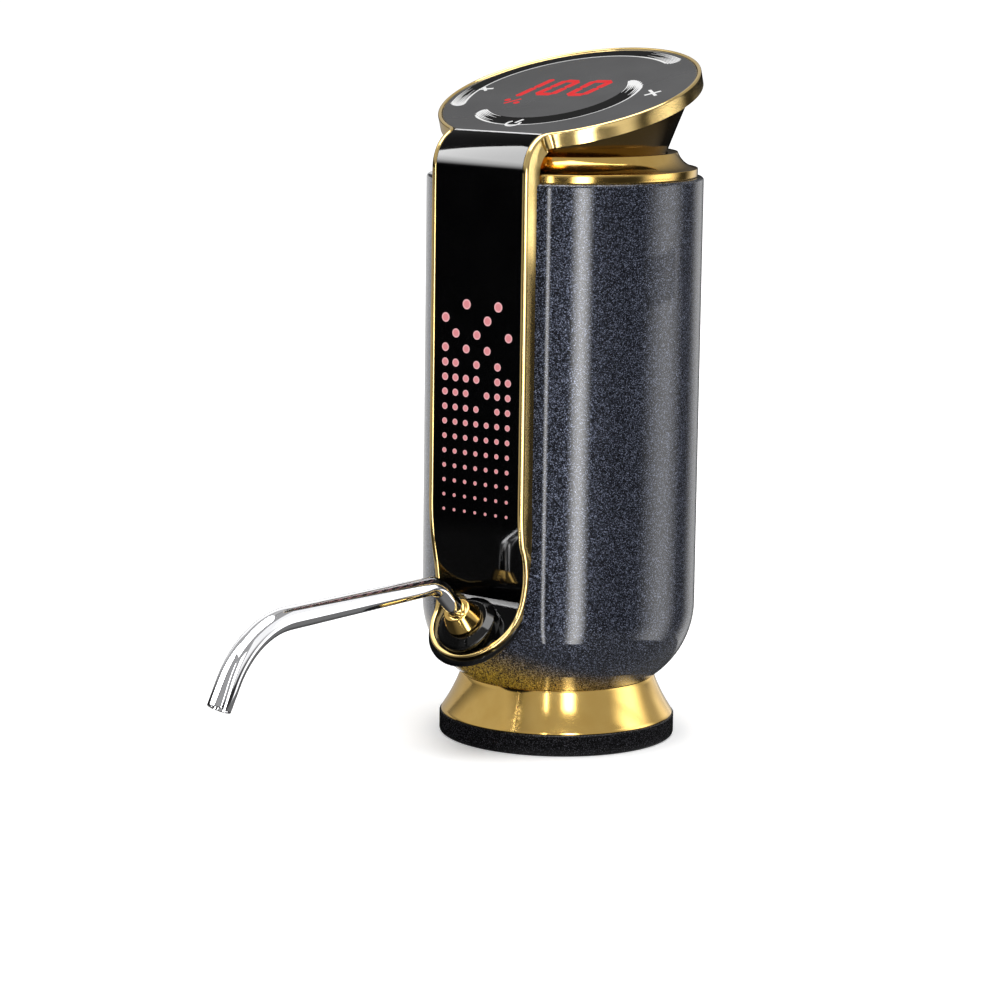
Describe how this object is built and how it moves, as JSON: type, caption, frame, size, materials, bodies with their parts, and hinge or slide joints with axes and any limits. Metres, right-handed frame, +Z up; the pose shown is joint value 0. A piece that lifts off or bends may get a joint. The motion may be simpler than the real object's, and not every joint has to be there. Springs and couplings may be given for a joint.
{
  "type": "electric wine aerator",
  "caption": "Cylindrical bottle-top pump in dark glitter paint with gold trim, a tilted round touch display, a strap of lights and a pull-out swivelling spout.",
  "frame": {"origin": "centre of the foot ring's underside, on the table", "axes": "+Z up along the sleeve's axis; -Y to the front, where the strap and the spout are; +X right seen from the front"},
  "size_m": [0.064, 0.1504, 0.1598],
  "materials": {
    "black_glitter": "gloss with fine glitter",
    "gold": "polished",
    "body_paint": "gloss with fine glitter",
    "gloss_black": "gloss",
    "lens": "gloss, lightly smoked",
    "chrome": "polished",
    "stopper_rubber": "matt",
    "seal_rubber": "matt",
    "hose_silicone": "satin",
    "steel": "satin",
    "circuit_board": "satin",
    "inner_plastic": "matt",
    "pale_plastic": "matt",
    "magnet": "matt",
    "armature": "satin",
    "cell_wrap": "gloss",
    "red_light": "lit red",
    "rose_light": "lit rose",
    "white_print": "lit white"
  },
  "bodies": {
    "housing": {"foot_ring": "black_glitter", "base_skirt": "gold", "top_collar": "gold", "trim_frame": "gold", "body_shell": "body_paint", "head_neck": "gloss_black", "front_panel": "gloss_black", "spout_shelf": "gloss_black", "spout_socket": "gloss_black", "display_lens": "lens", "bottle_stopper": "stopper_rubber", "pump_diaphragm": "seal_rubber", "valve_flaps": "seal_rubber", "wine_hose": "hose_silicone", "air_hose": "hose_silicone", "base_screws": "steel", "board_screws": "steel", "pump_screws": "steel", "wine_inlet": "steel", "air_inlet": "steel", "usb_port": "steel", "motor_can": "steel", "display_board": "circuit_board", "led_board": "circuit_board", "main_board": "circuit_board", "base_plate": "inner_plastic", "chassis": "inner_plastic", "pump_cap": "inner_plastic", "pump_case": "inner_plastic", "motor_end_cap": "inner_plastic", "touch_pads": "inner_plastic", "valve_plate": "pale_plastic", "digit_module": "pale_plastic", "motor_magnets": "magnet", "battery_cell": "cell_wrap"},
    "rotor": {"motor_shaft": "steel", "motor_armature": "armature", "eccentric_wheel": "pale_plastic", "drive_pin": "steel"},
    "wobbler": {"wobble_plate": "pale_plastic"},
    "seals": {"spout_o_rings": "seal_rubber"},
    "spout": {"spout_ferrule": "gold", "spout_tube": "chrome"}
  },
  "joints": [
    {"name": "rotor_spin", "type": "hinge", "parent": "housing", "child": "rotor", "pos_m": [-0.00899, -0.0115, 0.055], "axis": [0, 0, 1], "continuous": true, "deforming": ["pump_diaphragm"]},
    {"name": "wobble_counter", "type": "hinge", "parent": "rotor", "child": "wobbler", "pos_m": [-0.00899, -0.0115, 0.055], "axis": [0.1045, 0, 0.9945], "continuous": true},
    {"name": "spout_pull", "type": "slide", "parent": "housing", "child": "seals", "axis": [0, -0.7071, 0.7071], "range_m": [0, 0.016]},
    {"name": "spout_swivel", "type": "hinge", "parent": "seals", "child": "spout", "pos_m": [0, -0.03345, 0.02995], "axis": [0, -0.7071, 0.7071], "range_deg": [-90, 90]}
  ],
  "couplings": [
    {"joint": "wobble_counter", "follows": "rotor_spin", "ratio": -1}
  ]
}
